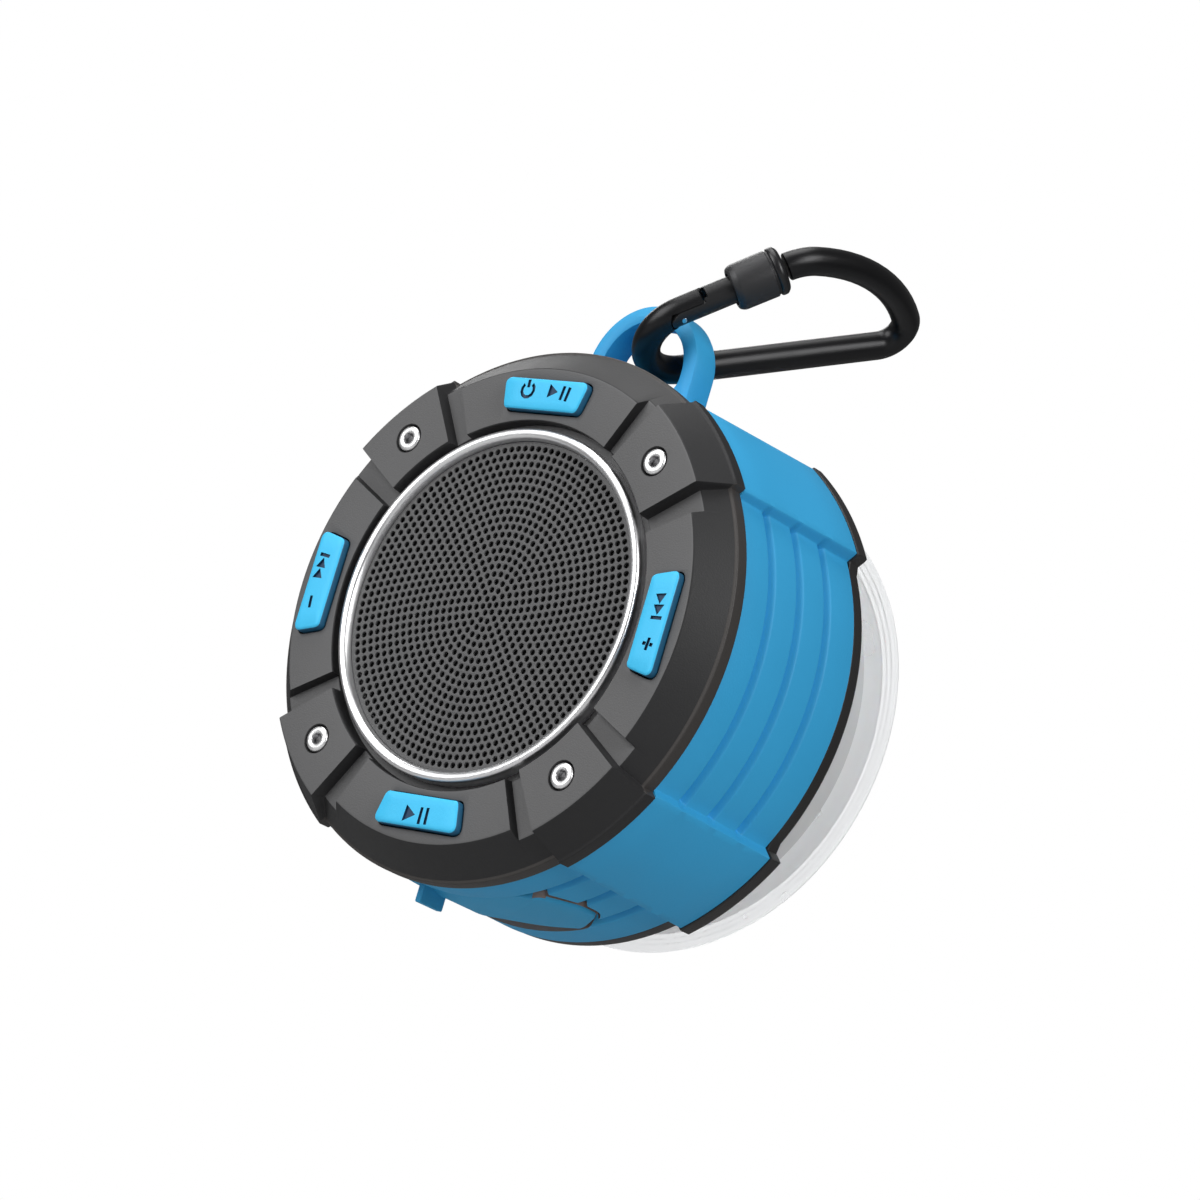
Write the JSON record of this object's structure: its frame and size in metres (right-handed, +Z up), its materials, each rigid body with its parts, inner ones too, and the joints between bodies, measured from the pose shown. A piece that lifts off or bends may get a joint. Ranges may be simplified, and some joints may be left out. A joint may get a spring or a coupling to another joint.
{
  "type": "shower speaker",
  "caption": "Round water-resistant clip-on speaker with a suction cup, front buttons, a rubber port flap, a hanging loop and a screw-lock carabiner.",
  "frame": {"origin": "centre of the suction cup's sealing plane, on the speaker's axis", "axes": "+Y into the wall that the cup holds, -Y out of the front, +Z up, +X right as seen from the front"},
  "size_m": [0.0808, 0.0534, 0.1102],
  "materials": {
    "barrel_blue": "fine matt moulded ABS",
    "bezel_charcoal": "fine spark-textured ABS",
    "ring_bright": "polished",
    "grille_grey": "perforated steel, satin paint",
    "mesh_black": "fine woven mesh",
    "button_blue": "satin",
    "keypad_rubber": "matt silicone",
    "board_green": "solder mask",
    "dome_steel": "thin sheet",
    "screw_chrome": "polished",
    "seal_rubber": "matt",
    "basket_steel": "black paint",
    "surround_rubber": "matt butyl",
    "cone_paper": "pressed paper",
    "coil_copper": "enamelled copper wire",
    "spider_cloth": "impregnated cloth",
    "plate_steel": "zinc plated",
    "magnet_ferrite": "sintered ferrite",
    "module_blue": "solder mask and shield",
    "socket_steel": "folded sheet",
    "capsule_metal": "plain",
    "cell_foil": "foil pouch",
    "pad_foam": "foam",
    "lead_red": "PVC insulation",
    "cover_black": "fine matt moulded ABS",
    "screw_black": "black zinc",
    "flap_blue": "matt silicone",
    "clip_steel": "spring steel",
    "cup_clear": "frosted translucent silicone",
    "stud_clear": "moulded polycarbonate",
    "carabiner_black": "black anodised aluminium",
    "pin_steel": "plain",
    "gate_black": "black anodised aluminium",
    "spring_steel": "plain",
    "sleeve_grey": "dark grey anodised aluminium",
    "sleeve_end_black": "black anodised aluminium"
  },
  "bodies": {
    "cup": {"suction_cup": "cup_clear", "cup_stud": "stud_clear"},
    "case": {"housing": "barrel_blue", "front_bezel": "bezel_charcoal", "trim_ring": "ring_bright", "grille": "grille_grey", "acoustic_mesh": "mesh_black", "keypad_mat": "keypad_rubber", "keypad_board": "board_green", "dome_switches": "dome_steel", "bezel_screws": "screw_chrome", "front_seal": "seal_rubber", "speaker_frame": "basket_steel", "speaker_surround": "surround_rubber", "spider": "spider_cloth", "top_plate": "plate_steel", "magnet": "magnet_ferrite", "yoke": "plate_steel", "main_board": "board_green", "bluetooth_module": "module_blue", "charging_socket": "socket_steel", "microphone": "capsule_metal", "battery": "cell_foil", "battery_pad": "pad_foam", "speaker_leads": "lead_red", "rear_cover": "cover_black", "rear_seal": "seal_rubber", "rear_screws": "screw_black", "cup_clip": "clip_steel"},
    "power_key": {"button_power": "button_blue"},
    "volume_down_key": {"button_volume_down": "button_blue"},
    "volume_up_key": {"button_volume_up": "button_blue"},
    "play_key": {"button_play": "button_blue"},
    "cone": {"speaker_cone": "cone_paper", "dust_cap": "cone_paper", "voice_coil": "coil_copper"},
    "flap": {"port_flap": "flap_blue"},
    "carabiner": {"carabiner_body": "carabiner_black", "gate_pin": "pin_steel"},
    "gate": {"carabiner_gate": "gate_black", "gate_spring": "spring_steel"},
    "sleeve": {"lock_sleeve": "sleeve_grey", "sleeve_ring": "sleeve_end_black"}
  },
  "joints": [
    {"name": "cup_swivel", "type": "hinge", "parent": "cup", "child": "case", "pos_m": [0, 0, 0], "axis": [0, 1, 0], "continuous": true},
    {"name": "press_power", "type": "slide", "parent": "case", "child": "power_key", "axis": [0, 1, 0], "range_m": [0, 0.0007], "stiffness_N_per_m": 900, "springref_m": -0.0006},
    {"name": "press_volume_down", "type": "slide", "parent": "case", "child": "volume_down_key", "axis": [0, 1, 0], "range_m": [0, 0.0007], "stiffness_N_per_m": 900, "springref_m": -0.0006},
    {"name": "press_volume_up", "type": "slide", "parent": "case", "child": "volume_up_key", "axis": [0, 1, 0], "range_m": [0, 0.0007], "stiffness_N_per_m": 900, "springref_m": -0.0006},
    {"name": "press_play", "type": "slide", "parent": "case", "child": "play_key", "axis": [0, 1, 0], "range_m": [0, 0.0007], "stiffness_N_per_m": 900, "springref_m": -0.0006},
    {"name": "cone_stroke", "type": "slide", "parent": "case", "child": "cone", "axis": [0, -1, 0], "range_m": [-0.0008, 0.0008], "stiffness_N_per_m": 900},
    {"name": "flap_hinge", "type": "hinge", "parent": "case", "child": "flap", "pos_m": [0, -0.0238, -0.0409], "axis": [1, 0, 0], "range_deg": [0, 100], "stiffness_Nm_per_rad": 0.004, "springref_deg": -5.73},
    {"name": "carabiner_swing", "type": "hinge", "parent": "case", "child": "carabiner", "pos_m": [0.00626, -0.0317, 0.04926], "axis": [0.7071, 0, -0.7071], "range_deg": [-36, 100]},
    {"name": "gate_hinge", "type": "hinge", "parent": "carabiner", "child": "gate", "pos_m": [0.00793, -0.03861, 0.05093], "axis": [-0.7071, 0, 0.7071], "range_deg": [0, 25], "stiffness_Nm_per_rad": 0.03, "springref_deg": -22.92},
    {"name": "sleeve_travel", "type": "slide", "parent": "gate", "child": "sleeve", "axis": [0.6295, 0.4555, 0.6295], "range_m": [-0.0042, 0.002]}
  ]
}
